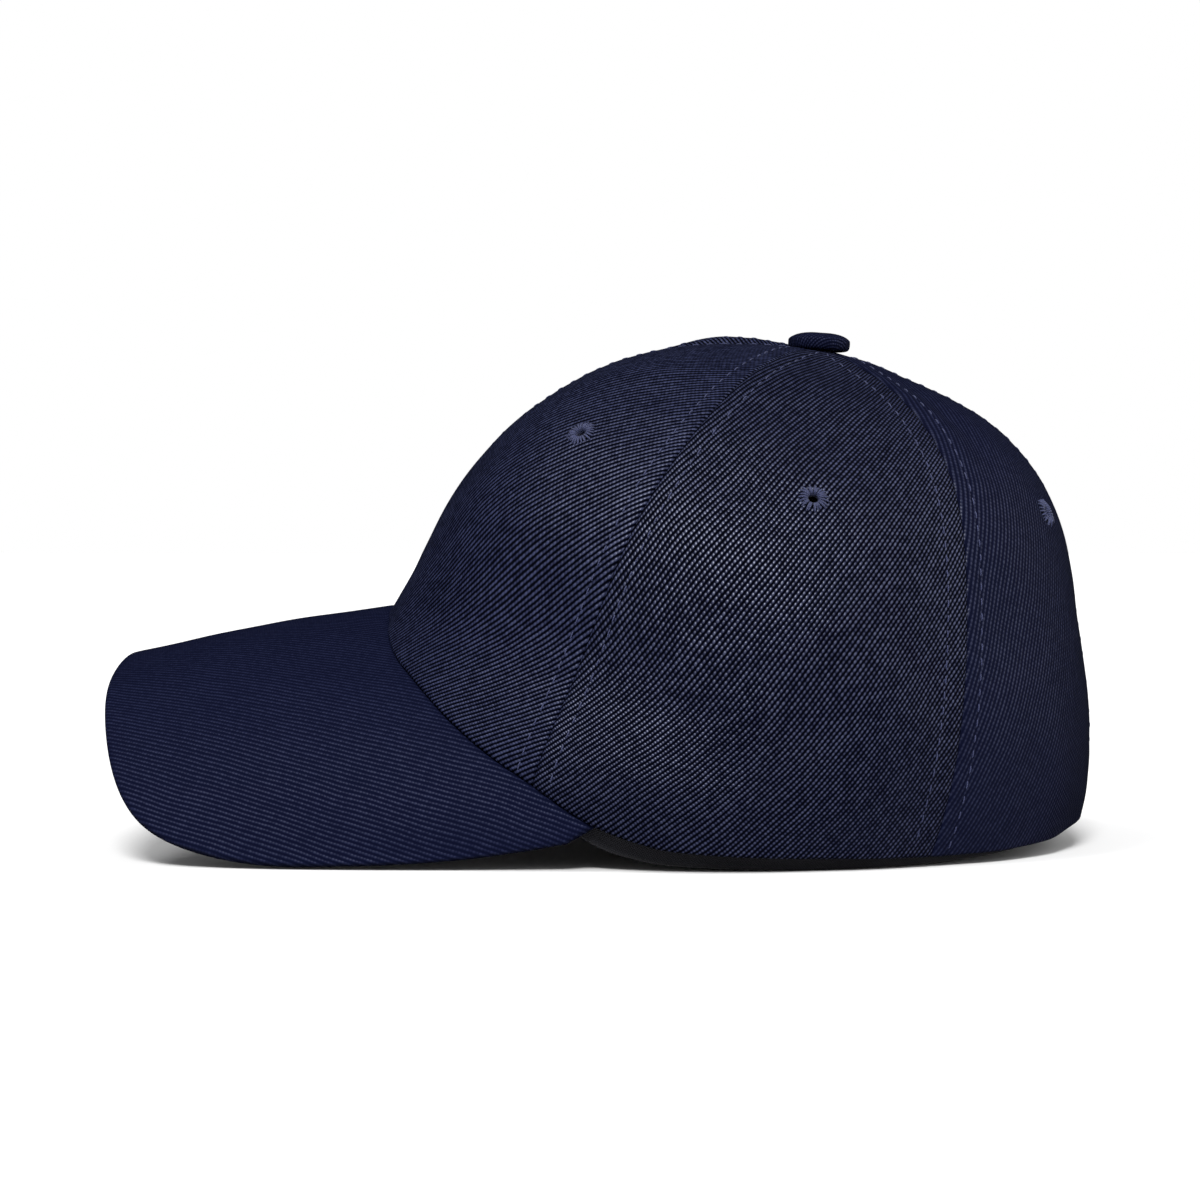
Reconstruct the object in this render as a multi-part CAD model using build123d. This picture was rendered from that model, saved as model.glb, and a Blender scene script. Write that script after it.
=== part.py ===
from build123d import *
import math
import os

import numpy as np
from scipy.interpolate import CubicSpline, PchipInterpolator

os.makedirs("parts", exist_ok=True)

# A six-panel baseball cap with a closed, fitted back, standing on a flat surface.
# Millimetres. +X is forward, +Y is the wearer's left, +Z is up.

# ---- Crown: one smooth dome about an axis that leans back ----
CROWN_TILT = 16.0  # degrees the crown's own axis leans back from the vertical
CENTRE_HEIGHT = 15.5  # the dome's centre above the ground
# Radius of the dome from its centre, by the angle down from the button.
DOME_ANGLES = (0, 13, 26, 38, 50, 62, 75, 90, 110)
FRONT_RADII = (121.5, 119.0, 116.0, 111.2, 105.0, 98.1, 94.5, 98.8, 97.8)
SIDE_RADII = (121.5, 117.3, 109.6, 102.7, 95.8, 89.2, 84.8, 85.3, 85.3)
REAR_RADII = (121.5, 123.2, 125.4, 121.1, 112.7, 108.2, 105.1, 99.4, 92.5)
TOP_SLOPE = 0.25  # how fast the radius grows backward from the button, per degree
PANEL_BULGE = 1.2  # how far each panel swells out between its two seams
PEAK_HEIGHT = 1.3  # the stiff gather of the seams under the button
PEAK_SPREAD = 6.0  # degrees
DOME_TOP = FRONT_RADII[0] + PEAK_HEIGHT
# Height of the crown's edge above the ground, by the angle round from the front.
EDGE_ANGLES = (-30, 0, 30, 60, 80, 90, 115, 135, 155, 170, 180)
EDGE_HEIGHTS = (48.5, 63.5, 48.5, 24.0, 8.7, 5.1, 3.0, 2.2, 3.6, 6.6, 7.4)
# Height of the sweatband's lower fold, which hangs below the crown's edge.
FOLD_HEIGHTS = (46.0, 61.0, 46.0, 20.6, 4.2, 1.4, 0.0, 0.7, 2.8, 6.0, 6.8)
FRONT_SEAM = 64.0  # degrees round from the front to the seam ahead of the ear
REAR_SEAM = 132.0  # degrees round from the front to the seam behind the ear
TOP_HOLE = 3.5  # radius left open under the button

# ---- Cloth, tape and band thicknesses ----
CLOTH = 1.0
BUCKRAM = 0.6
TAPE_THICK = 0.5
TAPE_WIDTH = 18.0
TAPE_TOP = 9.0  # angle down from the button at which the tapes begin
TAPE_LIFT = 5.0  # how far above the crown's edge the tapes end
BAND_THICK = 0.9
BAND_CORE = 0.7
BAND_HEIGHT = 35.0
GAP = 0.15  # clear space kept between two layers that are sewn together
SEAM_GAP = 0.12  # clear space from a seam's middle to the panel edge

# ---- Eyelets: sewn rings with a hole in the middle ----
EYELET_RADIUS = 4.2
EYELET_HOLE = 1.5
EYELET_WALL = 0.6
EYELET_RISE = 0.45
# Name, angle round from the front, angle down from the button.
EYELETS = (("front", 39.5, 40.0), ("side", 97.8, 38.3), ("rear", 160.0, 37.5))

# ---- Button on the top of the crown ----
BUTTON_RADIUS = 8.3
BUTTON_TILT = 3.0  # degrees the button leans back from the vertical
BUTTON_HEIGHT = 3.9
BUTTON_BAND = 1.7  # height of its straight side
BUTTON_SINK = 0.9  # how far its skirt hangs below the peak
BUTTON_CLOTH = 0.8
RIVET_RADIUS = 1.3
WASHER_RADIUS = 7.0
WASHER_THICK = 0.8

# ---- Visor: an arched board between two cloths ----
VISOR_SWEEP = 76.0  # degrees round from the front to the visor's rear corner
VISOR_CLOTH = 0.8
VISOR_BOARD = 1.9
VISOR_INSET = 1.4  # how far the board stops short of the visor's outline
VISOR_CAMBER = 1.3  # how far the visor bows up between root and front edge
ROOT_GAP = 0.5  # clear space between the visor's root and the crown's edge
# Outer edge of the visor: forward, sideways and height, by the angle of the
# point on the crown's edge that each rib of the visor starts from.
RIB_ANGLES = (0, 15, 30, 38, 45, 52, 62, 70, 76)
EDGE_FORWARD = (155.1, 154.6, 151.1, 145.1, 134.6, 115.4, 85.6, 55.0, 30.0)
EDGE_SIDEWAYS = (0.0, 28.0, 53.5, 69.0, 77.5, 81.3, 83.0, 83.5, 83.7)
EDGE_UP = (50.0, 45.9, 33.5, 20.6, 9.1, 2.5, 1.0, 2.8, 6.6)


def spline(radii, slope):
    """A smooth profile through the given radii, with a slope at the top."""
    return CubicSpline(DOME_ANGLES, radii, bc_type=((1, slope), "natural"))


FRONT = spline(FRONT_RADII, -TOP_SLOPE)
SIDE = spline(SIDE_RADII, 0)
REAR = spline(REAR_RADII, TOP_SLOPE)
EDGE = PchipInterpolator(EDGE_ANGLES, EDGE_HEIGHTS)
FOLD = PchipInterpolator(EDGE_ANGLES, FOLD_HEIGHTS)


def base_radius(around, down):
    """Radius of the dome at its seams, from the three profiles."""
    turn = math.radians(around)
    front, side, rear = FRONT(down), SIDE(down), REAR(down)
    mean = (front + rear) / 4 + side / 2
    fore_aft = (front - rear) / 2
    oval = (front + rear) / 4 - side / 2
    radius = mean + fore_aft * math.cos(turn) + oval * math.cos(2 * turn)
    return radius + PEAK_HEIGHT * math.exp(-((down / PEAK_SPREAD) ** 2))


def swell(around, down, gore):
    """Extra radius of a panel between its two seams; none for no panel."""
    if gore is None:
        return 0.0
    start, end = gore
    across = 2 * (around - start) / (end - start) - 1
    fade = math.sin(min(down / 60, 1) * math.pi / 2)
    return PANEL_BULGE * (1 - across**2) * fade


def dome_point(around, down, gore=None):
    """A point on the outside of the crown."""
    radius = base_radius(around, down) + swell(around, down, gore)
    turn, drop, lean = (math.radians(a) for a in (around, down, CROWN_TILT))
    ahead = radius * math.sin(drop) * math.cos(turn)
    up = radius * math.cos(drop)
    return np.array(
        (
            ahead * math.cos(lean) - up * math.sin(lean),
            radius * math.sin(drop) * math.sin(turn),
            ahead * math.sin(lean) + up * math.cos(lean) + CENTRE_HEIGHT,
        )
    )


def unit(vector):
    return vector / np.linalg.norm(vector)


def dome_normal(around, down, gore=None):
    """The direction straight out of the crown at a point."""
    step = 0.05
    along = dome_point(around, down + step, gore) - dome_point(around, down - step, gore)
    across = dome_point(around + step, down, gore) - dome_point(around - step, down, gore)
    return unit(np.cross(along, across))


def layer_point(around, down, depth, gore=None):
    """A point the given depth under the outside of the crown."""
    return dome_point(around, down, gore) - depth * dome_normal(around, down, gore)


def edge_down(around, heights=EDGE, depth=0.0):
    """Angle down from the button at which a layer of the crown meets a height."""
    height = float(heights(min(abs(around), 180)))
    low, high = 60.0, 135.0
    for _ in range(40):
        middle = (low + high) / 2
        point = layer_point(around, middle, depth) if depth else dome_point(around, middle)
        if point[2] > height:
            low = middle
        else:
            high = middle
    return low


def degrees_for(length, around, down):
    """Angle down from the button that spans a length along the crown."""
    return math.degrees(length / float(base_radius(around, down)))


def degrees_round(length, around, down):
    """Angle round the crown that spans a length across it."""
    radius = float(base_radius(around, down)) * math.sin(math.radians(down))
    return math.degrees(length / radius)


def shell_solid(outer, inner):
    """A closed solid between two matching grids of points."""
    faces = []
    for grid in (outer, inner):
        rows = [[Vector(*point) for point in row] for row in grid]
        faces.append(
            Face.make_surface_from_array_of_points(rows, tol=0.01, min_deg=3)
        )
    walls = []
    for edge in faces[0].edges():
        middle = edge.position_at(0.5)
        match = min(
            faces[1].edges(),
            key=lambda other: (other.position_at(0.5) - middle).length,
        )
        walls.append(Face.make_surface_from_curves(edge, match))
    solid = Solid(Shell(faces + walls))
    if solid.volume < 0:
        solid = Solid(Shell([-face for face in faces + walls]))
    return solid


def crown_layer(start, end, rows, columns, span, depths, gore=None):
    """A solid layer of the crown.

    start and end give the angle round at an angle down, and span gives the
    highest and lowest angle down at an angle round.
    """
    grids = []
    for depth in depths:
        grid = []
        for column in np.linspace(0, 1, columns):
            line = []
            for row in np.linspace(0, 1, rows):
                around = start(90) * (1 - column) + end(90) * column
                high, low = span(around)
                down = high * (1 - row) + low * row
                around = start(down) * (1 - column) + end(down) * column
                line.append(layer_point(around, down, depth, gore))
            grid.append(line)
        grids.append(grid)
    return shell_solid(*grids)


def gore_sides(first, second, margin):
    """The two sides of a panel, each a margin inside its seam."""

    def start(down):
        return first + degrees_round(margin, first, down)

    def end(down):
        return second - degrees_round(margin, second, down)

    return start, end


def gore_layer(first, second, margin, top, lift, depths):
    """A layer that follows one panel, from the top hole to the edge."""
    start, end = gore_sides(first, second, margin)

    def span(around):
        low = edge_down(around)
        return top, low - degrees_for(lift, around, low)

    return crown_layer(start, end, 21, 11, span, depths, (first, second))


def top_angle(radius):
    """Angle down from the button of a circle of a radius round the peak."""
    return math.degrees(radius / DOME_TOP)


GORES = {
    "front_left": (0.0, FRONT_SEAM),
    "side_left": (FRONT_SEAM, REAR_SEAM),
    "rear_left": (REAR_SEAM, 180.0),
    "front_right": (-FRONT_SEAM, 0.0),
    "side_right": (-REAR_SEAM, -FRONT_SEAM),
    "rear_right": (-180.0, -REAR_SEAM),
}


def spot(around, down, gore):
    """A plane on the crown, facing straight out of it."""
    origin = dome_point(around, down, gore)
    return Plane(origin=Vector(*origin), z_dir=Vector(*dome_normal(around, down, gore)))


def eyelet_place(name, side):
    """The plane of one eyelet, on the left (1) or the right (-1)."""
    around, down = next((a, d) for n, a, d in EYELETS if n == name)
    gore = GORES[f"{name}_{'left' if side > 0 else 'right'}"]
    return spot(side * around, down, gore)


def eyelet_cutter(place):
    drill = Cylinder(EYELET_HOLE + EYELET_WALL + 2 * GAP, 12)
    return place * drill


def eyelet(place, wall_depth):
    """A ring of thread round the hole, turned over both faces of the cloth."""
    barrel = EYELET_HOLE + EYELET_WALL
    top = GAP + EYELET_RISE
    bottom = -wall_depth - GAP - EYELET_RISE
    outline = Polyline(
        (EYELET_HOLE, bottom),
        (EYELET_RADIUS - 0.4, bottom),
        (EYELET_RADIUS - 0.4, bottom + EYELET_RISE),
        (barrel, bottom + EYELET_RISE),
        (barrel, GAP),
        (EYELET_RADIUS, GAP),
        (EYELET_RADIUS - 0.2, top),
        (EYELET_HOLE, top),
        (EYELET_HOLE, bottom),
    )
    profile = Plane.XZ * make_face(outline)
    return place * revolve(profile, Axis.Z)


def make_panels():
    """The six outer panels, and the stiff backing of the two front ones."""
    parts = {}
    top = top_angle(TOP_HOLE)
    for name, (first, second) in GORES.items():
        side = 1 if first >= 0 else -1
        cutter = eyelet_cutter(eyelet_place(name.split("_")[0], side))
        panel = gore_layer(first, second, SEAM_GAP, top, 0.0, (0.0, CLOTH))
        parts[f"panel_{name}"] = panel - cutter
        if name.startswith("front"):
            depths = (CLOTH + GAP, CLOTH + GAP + BUCKRAM)
            backing = gore_layer(first, second, 1.5, top_angle(12), 1.5, depths)
            parts[f"buckram_{name}"] = backing - cutter
    return parts


def make_eyelets():
    parts = {}
    for name, _, _ in EYELETS:
        depth = CLOTH + GAP + BUCKRAM if name == "front" else CLOTH
        for side, word in ((1, "left"), (-1, "right")):
            parts[f"eyelet_{name}_{word}"] = eyelet(eyelet_place(name, side), depth)
    return parts


def tape_taper(down):
    """Share of the tape's full width, narrower where the tapes meet."""
    return min(1.0, 0.75 + (down - TAPE_TOP) / 60)


def seam_tape(seam, depth):
    """A tape under one seam, from near the top down to the edge."""
    half = TAPE_WIDTH / 2

    def start(down):
        return seam - degrees_round(half * tape_taper(down), seam, down)

    def end(down):
        return seam + degrees_round(half * tape_taper(down), seam, down)

    def span(around):
        low = edge_down(seam)
        return TAPE_TOP, low - degrees_for(TAPE_LIFT, seam, low)

    return crown_layer(start, end, 21, 7, span, (depth, depth + TAPE_THICK))


def make_tapes():
    names = {
        "front": 0.0,
        "rear": 180.0,
        "left_front": FRONT_SEAM,
        "left_rear": REAR_SEAM,
        "right_front": -FRONT_SEAM,
        "right_rear": -REAR_SEAM,
    }
    parts = {}
    for name, seam in names.items():
        depth = CLOTH + GAP
        if "front" in name:
            depth += BUCKRAM + 2 * GAP
        parts[f"seam_tape_{name}"] = seam_tape(seam, depth + 0.05)
    return parts


def band_layer(depths, foot, top):
    """A strip round the inside of the crown, its two ends meeting at the back."""

    def start(down):
        return -180.0 + degrees_round(SEAM_GAP, 180, down)

    def end(down):
        return 180.0 - degrees_round(SEAM_GAP, 180, down)

    def span(around):
        low = edge_down(around)
        return low - degrees_for(top, around, low), foot(around)

    return crown_layer(start, end, 7, 91, span, depths)


def make_sweatband():
    """The band against the head, and the soft core behind it."""
    core_depth = CLOTH + BUCKRAM + TAPE_THICK + 5 * GAP
    face_depth = core_depth + BAND_CORE + GAP

    def core_foot(around):
        low = edge_down(around)
        return low - degrees_for(4.0, around, low)

    def fold(around):
        return edge_down(around, FOLD, face_depth + BAND_THICK)

    core = (core_depth, core_depth + BAND_CORE)
    face = (face_depth, face_depth + BAND_THICK)
    return {
        "sweatband_core": band_layer(core, core_foot, BAND_HEIGHT - 2.0),
        "sweatband": band_layer(face, fold, BAND_HEIGHT + 1.5),
    }


def button_plane():
    """The plane at the peak of the crown that the button sits square to."""
    lean = math.radians(BUTTON_TILT)
    peak = dome_point(0, 0.01)
    return Plane(origin=Vector(*peak), z_dir=(-math.sin(lean), 0, math.cos(lean)))


def dome_profile(radius, low, band, high):
    """Half of a button's section: straight side, rounded shoulder, domed top."""
    side = Line((radius, low), (radius, band))
    top = Spline(
        (radius, band),
        (radius * 0.93, band + (high - band) * 0.52),
        (radius * 0.6, band + (high - band) * 0.87),
        (0, high),
        tangents=((0, 1), (-1, 0)),
    )
    axis = Line((0, high), (0, low))
    floor = Line((0, low), (radius, low))
    return Plane.XZ * make_face([side, top, axis, floor])


def peak_blocks():
    """The crown round its peak as six thick layers, which the button is cut to fit."""
    blocks = []
    for first, second in GORES.values():
        start, end = gore_sides(first, second, -SEAM_GAP)

        def span(around):
            return top_angle(RIVET_RADIUS), top_angle(1.5 * BUTTON_RADIUS)

        depths = (-GAP, 3 * CLOTH)
        blocks.append(crown_layer(start, end, 9, 9, span, depths, (first, second)))
    return blocks


def make_button():
    """The covered button, its core with the rivet, and the washer inside."""
    place = button_plane()
    low = -BUTTON_SINK
    wall = BUTTON_CLOTH
    outside = revolve(dome_profile(BUTTON_RADIUS, low, BUTTON_BAND, BUTTON_HEIGHT), Axis.Z)
    room = revolve(
        dome_profile(BUTTON_RADIUS - wall, low - 1, BUTTON_BAND, BUTTON_HEIGHT - wall),
        Axis.Z,
    )
    inner_radius = BUTTON_RADIUS - wall - GAP
    inner_top = BUTTON_HEIGHT - wall - GAP
    core = revolve(dome_profile(inner_radius, GAP, BUTTON_BAND, inner_top), Axis.Z)
    washer_top = -(CLOTH + BUCKRAM + TAPE_THICK + 6 * GAP)
    stem = Pos(0, 0, (washer_top - 0.6 + 2) / 2) * Cylinder(RIVET_RADIUS, 2.6 - washer_top)
    washer = Cylinder(WASHER_RADIUS, WASHER_THICK) - Cylinder(RIVET_RADIUS + GAP, 2)
    washer = Pos(0, 0, washer_top - WASHER_THICK / 2) * washer
    cover, core = place * (outside - room), place * core
    for block in peak_blocks():
        cover, core = cover - block, core - block
    return {
        "button_cover": cover,
        "button_core": core + place * stem,
        "button_washer": place * washer,
    }


EDGE_LINE = CubicSpline(
    RIB_ANGLES,
    np.column_stack((EDGE_FORWARD, EDGE_SIDEWAYS, EDGE_UP)),
    bc_type=((1, np.array((0, 28.0 / 15, 0))), "natural"),
)


def visor_point(around, along):
    """A point on top of the visor; along runs from its root to its edge."""
    side = 1 if around >= 0 else -1
    root = dome_point(abs(around), edge_down(around))
    edge = EDGE_LINE(abs(around))
    rib = edge - root
    root = root + unit(rib) * ROOT_GAP
    point = root * (1 - along) + edge * along
    width = np.linalg.norm(rib)
    camber = VISOR_CAMBER * (width / 75) ** 2 * 4 * along * (1 - along)
    point = point + camber * np.array((0.0, 0.4, 0.9))
    if abs(around) < 25:
        point[1] -= camber * 0.4 * (1 - abs(around) / 25)
    return point * np.array((1, side, 1))


def visor_normal(around, along):
    step = 0.01
    low, high = max(along - step, 0), min(along + step, 1)
    forward = visor_point(around, high) - visor_point(around, low)
    across = visor_point(around + step * 20, along) - visor_point(around - step * 20, along)
    return unit(np.cross(forward, across))


def visor_layer(depths, inset, strip=None):
    """A layer of the visor, held back from its outline by an inset.

    With a strip, only that much of it along the outer edge is made.
    """
    grids = []
    sweep = VISOR_SWEEP - inset * 0.9
    for depth in depths:
        grid = []
        for around in np.linspace(-sweep, sweep, 49):
            width = np.linalg.norm(visor_point(around, 1) - visor_point(around, 0))
            low = inset / width if strip is None else 1 - strip / width
            high = 1 - inset / width
            line = []
            for along in np.linspace(low, high, 7):
                line.append(
                    visor_point(around, along) - depth * visor_normal(around, along)
                )
            grid.append(line)
        grids.append(grid)
    return shell_solid(*grids)


def make_visor():
    """Top cloth, board, turned seam round the board, and under cloth."""
    board_top = VISOR_CLOTH + GAP
    board_bottom = board_top + VISOR_BOARD
    under_top = board_bottom + GAP
    return {
        "visor_top": visor_layer((0.0, VISOR_CLOTH), 0.0),
        "visor_board": visor_layer((board_top, board_bottom), VISOR_INSET),
        "visor_under": visor_layer((under_top, under_top + VISOR_CLOTH), 0.3),
        "visor_seam": visor_layer((board_top, board_bottom), 0.2, VISOR_INSET - 0.3),
    }


def make_all():
    parts = {}
    for group in (
        make_panels,
        make_eyelets,
        make_tapes,
        make_sweatband,
        make_button,
        make_visor,
    ):
        parts.update(group())
    return parts


def main():
    parts = make_all()
    boxes = [part.bounding_box() for part in parts.values()]
    rear = min(box.min.X for box in boxes)
    front = max(box.max.X for box in boxes)
    ground = min(box.min.Z for box in boxes)
    shift = Location((-(rear + front) / 2, 0, -ground))
    for name, part in parts.items():
        export_step(part.moved(shift), f"parts/{name}.step")


main()
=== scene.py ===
import math

import bpy
import numpy as np
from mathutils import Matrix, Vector


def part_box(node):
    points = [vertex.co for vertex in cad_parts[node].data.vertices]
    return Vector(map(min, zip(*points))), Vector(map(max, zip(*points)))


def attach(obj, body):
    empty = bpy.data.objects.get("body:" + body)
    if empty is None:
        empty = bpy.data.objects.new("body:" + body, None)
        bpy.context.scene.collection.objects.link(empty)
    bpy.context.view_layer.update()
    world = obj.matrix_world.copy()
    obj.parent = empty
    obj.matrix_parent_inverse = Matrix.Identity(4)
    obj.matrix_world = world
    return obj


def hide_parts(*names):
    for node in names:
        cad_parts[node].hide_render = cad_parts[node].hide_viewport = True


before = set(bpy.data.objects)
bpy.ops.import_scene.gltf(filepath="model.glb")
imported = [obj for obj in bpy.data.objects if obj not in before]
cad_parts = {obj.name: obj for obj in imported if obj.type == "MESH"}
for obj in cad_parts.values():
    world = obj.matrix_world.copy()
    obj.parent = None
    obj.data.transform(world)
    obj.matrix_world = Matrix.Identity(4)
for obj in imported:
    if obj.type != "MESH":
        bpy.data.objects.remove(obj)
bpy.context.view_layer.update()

MM = 0.001

# ---- The plain shapes, in millimetres and degrees, repeated from the CAD ----
CROWN_TILT = 16.0
CENTRE_HEIGHT = 15.5
DOME_ANGLES = (0, 13, 26, 38, 50, 62, 75, 90, 110)
FRONT_RADII = (121.5, 119.0, 116.0, 111.2, 105.0, 98.1, 94.5, 98.8, 97.8)
SIDE_RADII = (121.5, 117.3, 109.6, 102.7, 95.8, 89.2, 84.8, 85.3, 85.3)
REAR_RADII = (121.5, 123.2, 125.4, 121.1, 112.7, 108.2, 105.1, 99.4, 92.5)
TOP_SLOPE = 0.25
PANEL_BULGE = 1.2
PEAK_HEIGHT = 1.3
PEAK_SPREAD = 6.0
EDGE_ANGLES = (-30, 0, 30, 60, 80, 90, 115, 135, 155, 170, 180)
EDGE_HEIGHTS = (48.5, 63.5, 48.5, 24.0, 8.7, 5.1, 3.0, 2.2, 3.6, 6.6, 7.4)
FOLD_HEIGHTS = (46.0, 61.0, 46.0, 20.6, 4.2, 1.4, 0.0, 0.7, 2.8, 6.0, 6.8)
FRONT_SEAM = 64.0
REAR_SEAM = 132.0
TOP_HOLE = 3.5
CLOTH = 1.0
BUCKRAM_DEPTH = 1.15
BUCKRAM = 0.6
TAPE_THICK = 0.5
TAPE_WIDTH = 18.0
TAPE_TOP = 9.0
TAPE_LIFT = 5.0
CORE_DEPTH = 2.85
CORE_THICK = 0.7
BAND_DEPTH = 3.7
BAND_THICK = 0.9
BAND_HEIGHT = 35.0
EYELETS = (("front", 39.5, 40.0), ("side", 97.8, 38.3), ("rear", 160.0, 37.5))
BUTTON_RADIUS = 8.3
BUTTON_TILT = 3.0
BUTTON_HEIGHT = 3.9
BUTTON_BAND = 1.7
VISOR_SWEEP = 76.0
VISOR_THICK = 3.8
VISOR_CLOTH = 0.8
VISOR_CAMBER = 1.3
RIB_ANGLES = (0, 15, 30, 38, 45, 52, 62, 70, 76)
EDGE_FORWARD = (155.1, 154.6, 151.1, 145.1, 134.6, 115.4, 85.6, 55.0, 30.0)
EDGE_SIDEWAYS = (0.0, 28.0, 53.5, 69.0, 77.5, 81.3, 83.0, 83.5, 83.7)
EDGE_UP = (50.0, 45.9, 33.5, 20.6, 9.1, 2.5, 1.0, 2.8, 6.6)

GORES = {
    "front_left": (0.0, FRONT_SEAM),
    "side_left": (FRONT_SEAM, REAR_SEAM),
    "rear_left": (REAR_SEAM, 180.0),
    "front_right": (-FRONT_SEAM, 0.0),
    "side_right": (-REAR_SEAM, -FRONT_SEAM),
    "rear_right": (-180.0, -REAR_SEAM),
}
SEAMS = {
    "front": (0.0, "front_right", "front_left"),
    "left_front": (FRONT_SEAM, "front_left", "side_left"),
    "left_rear": (REAR_SEAM, "side_left", "rear_left"),
    "rear": (180.0, "rear_left", "rear_right"),
    "right_rear": (-REAR_SEAM, "rear_right", "side_right"),
    "right_front": (-FRONT_SEAM, "side_right", "front_right"),
}

# ---- How the cloth is sewn, in millimetres ----
STITCH_ROW = 4.6  # from a seam to each of its two rows of stitches
STITCH_PITCH = 3.9
STITCH_LENGTH = 2.3
STITCH_RADIUS = 0.18
RIM_ROLL = 0.9  # radius of the fold along the crown's edge
HEM_HEIGHT = 12.0
VISOR_ROLL = VISOR_THICK / 2
SEAM_ALLOWANCE = 7.0
# From the crown's edge to the visor's root. Below zero, the root is tucked under
# the edge. The CAD leaves 0.5, so this is not the CAD's own value.
ROOT_GAP = -0.3
LINING_DEPTH = 0.93  # the inside of a panel lies at least this deep
EYELET_HOLE = 1.75
EYELET_THREADS = 23
# Rows of stitches that were sewn wide of, or near to, their seam.
UNEVEN_ROWS = {("side_left", REAR_SEAM): 6.2, ("rear_left", REAR_SEAM): 4.2}
# Angle of the ribs of the twill across each flat panel, in degrees.
TWILL_ANGLES = {"front": -52.0, "side": -54.0, "rear": -62.0}
VISOR_TWILL = -28.0

# Soft hollows (negative) and swellings of single panels: the panel, angle round,
# angle down, half length down the panel, half width across it, height.
SHAPES = (
    ("front_right", -38, 17, 20, 17, 4.6),
    ("front_left", 34, 12, 14, 14, -0.5),
    ("front_left", 14, 80, 15, 5, -0.7),
    ("front_left", 30, 60, 26, 16, 0.5),
    ("side_left", 100, 12, 11, 10, -1.1),
    ("side_left", 92, 70, 26, 30, 0.5),
    ("side_right", -100, 13, 12, 12, -0.8),
    ("rear_left", 146, 20, 17, 4, -1.0),
    ("rear_left", 139, 22, 20, 3.5, 0.6),
    ("rear_left", 158, 60, 28, 14, 0.5),
    ("rear_right", -150, 24, 20, 8, -0.8),
    ("rear_left", 172, 7, 6, 6, 0.5),
    ("rear_right", -172, 7, 6, 6, 0.5),
)


# ---------------------------------------------------------------- plain shapes


def spline(x, y, slope):
    """A cubic spline with a given slope at its start and no bend at its end."""
    x, y = np.array(x, float), np.array(y, float)
    flat = y.reshape(len(x), -1)
    gap, rise = np.diff(x), np.diff(flat, axis=0)
    matrix, target = np.zeros((len(x), len(x))), np.zeros_like(flat)
    matrix[0, :2] = 2 * gap[0], gap[0]
    target[0] = 6 * (rise[0] / gap[0] - np.ravel(slope))
    for i in range(1, len(x) - 1):
        matrix[i, i - 1 : i + 2] = gap[i - 1], 2 * (gap[i - 1] + gap[i]), gap[i]
        target[i] = 6 * (rise[i] / gap[i] - rise[i - 1] / gap[i - 1])
    matrix[-1, -1] = 1
    bend = np.linalg.solve(matrix, target)

    def value(t):
        t = np.asarray(t, float)
        i = np.clip(np.searchsorted(x, t) - 1, 0, len(x) - 2)
        after = ((t - x[i]) / gap[i])[..., None]
        before = 1 - after
        curve = (before**3 - before) * bend[i] + (after**3 - after) * bend[i + 1]
        line = before * flat[i] + after * flat[i + 1]
        out = line + curve * (gap[i] ** 2)[..., None] / 6
        return out[..., 0] if y.ndim == 1 else out

    return value


def monotone(x, y):
    """A smooth curve through points that never rises or dips between them."""
    x, y = np.array(x, float), np.array(y, float)
    gap = np.diff(x)
    rate = np.diff(y) / gap
    slope = np.zeros(len(x))
    for i in range(1, len(x) - 1):
        if rate[i - 1] * rate[i] > 0:
            first, second = 2 * gap[i] + gap[i - 1], gap[i] + 2 * gap[i - 1]
            slope[i] = (first + second) / (first / rate[i - 1] + second / rate[i])

    def value(t):
        t = np.asarray(t, float)
        i = np.clip(np.searchsorted(x, t) - 1, 0, len(x) - 2)
        s = (t - x[i]) / gap[i]
        return (
            y[i] * (1 + 2 * s) * (1 - s) ** 2
            + y[i + 1] * s**2 * (3 - 2 * s)
            + gap[i] * s * (1 - s) * (slope[i] * (1 - s) - slope[i + 1] * s)
        )

    return value


FRONT = spline(DOME_ANGLES, FRONT_RADII, -TOP_SLOPE)
SIDE = spline(DOME_ANGLES, SIDE_RADII, 0)
REAR = spline(DOME_ANGLES, REAR_RADII, TOP_SLOPE)
EDGE = monotone(EDGE_ANGLES, EDGE_HEIGHTS)
FOLD = monotone(EDGE_ANGLES, FOLD_HEIGHTS)
EDGE_LINE = spline(
    RIB_ANGLES,
    np.column_stack((EDGE_FORWARD, EDGE_SIDEWAYS, EDGE_UP)),
    (0, 28.0 / 15, 0),
)


def base_radius(around, down):
    """Radius of the dome at its seams, from its front, side and rear profiles."""
    turn = np.radians(around)
    front, side, rear = FRONT(down), SIDE(down), REAR(down)
    mean = (front + rear) / 4 + side / 2
    fore_aft = (front - rear) / 2
    oval = (front + rear) / 4 - side / 2
    radius = mean + fore_aft * np.cos(turn) + oval * np.cos(2 * turn)
    return radius + PEAK_HEIGHT * np.exp(-((down / PEAK_SPREAD) ** 2))


def crown_point(around, down, gore=None):
    """Points on the outside of the crown, in the CAD's own millimetres."""
    around, down = np.broadcast_arrays(
        np.asarray(around, float), np.asarray(down, float)
    )
    radius = base_radius(around, down)
    if gore is not None:
        first, second = gore
        across = 2 * (around - first) / (second - first) - 1
        fade = np.sin(np.minimum(down / 60, 1) * math.pi / 2)
        radius = radius + PANEL_BULGE * (1 - across**2) * fade
    turn, drop, lean = np.radians(around), np.radians(down), math.radians(CROWN_TILT)
    ahead = radius * np.sin(drop) * np.cos(turn)
    up = radius * np.cos(drop)
    return np.stack(
        (
            ahead * math.cos(lean) - up * math.sin(lean),
            radius * np.sin(drop) * np.sin(turn),
            ahead * math.sin(lean) + up * math.cos(lean) + CENTRE_HEIGHT,
        ),
        axis=-1,
    )


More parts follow.
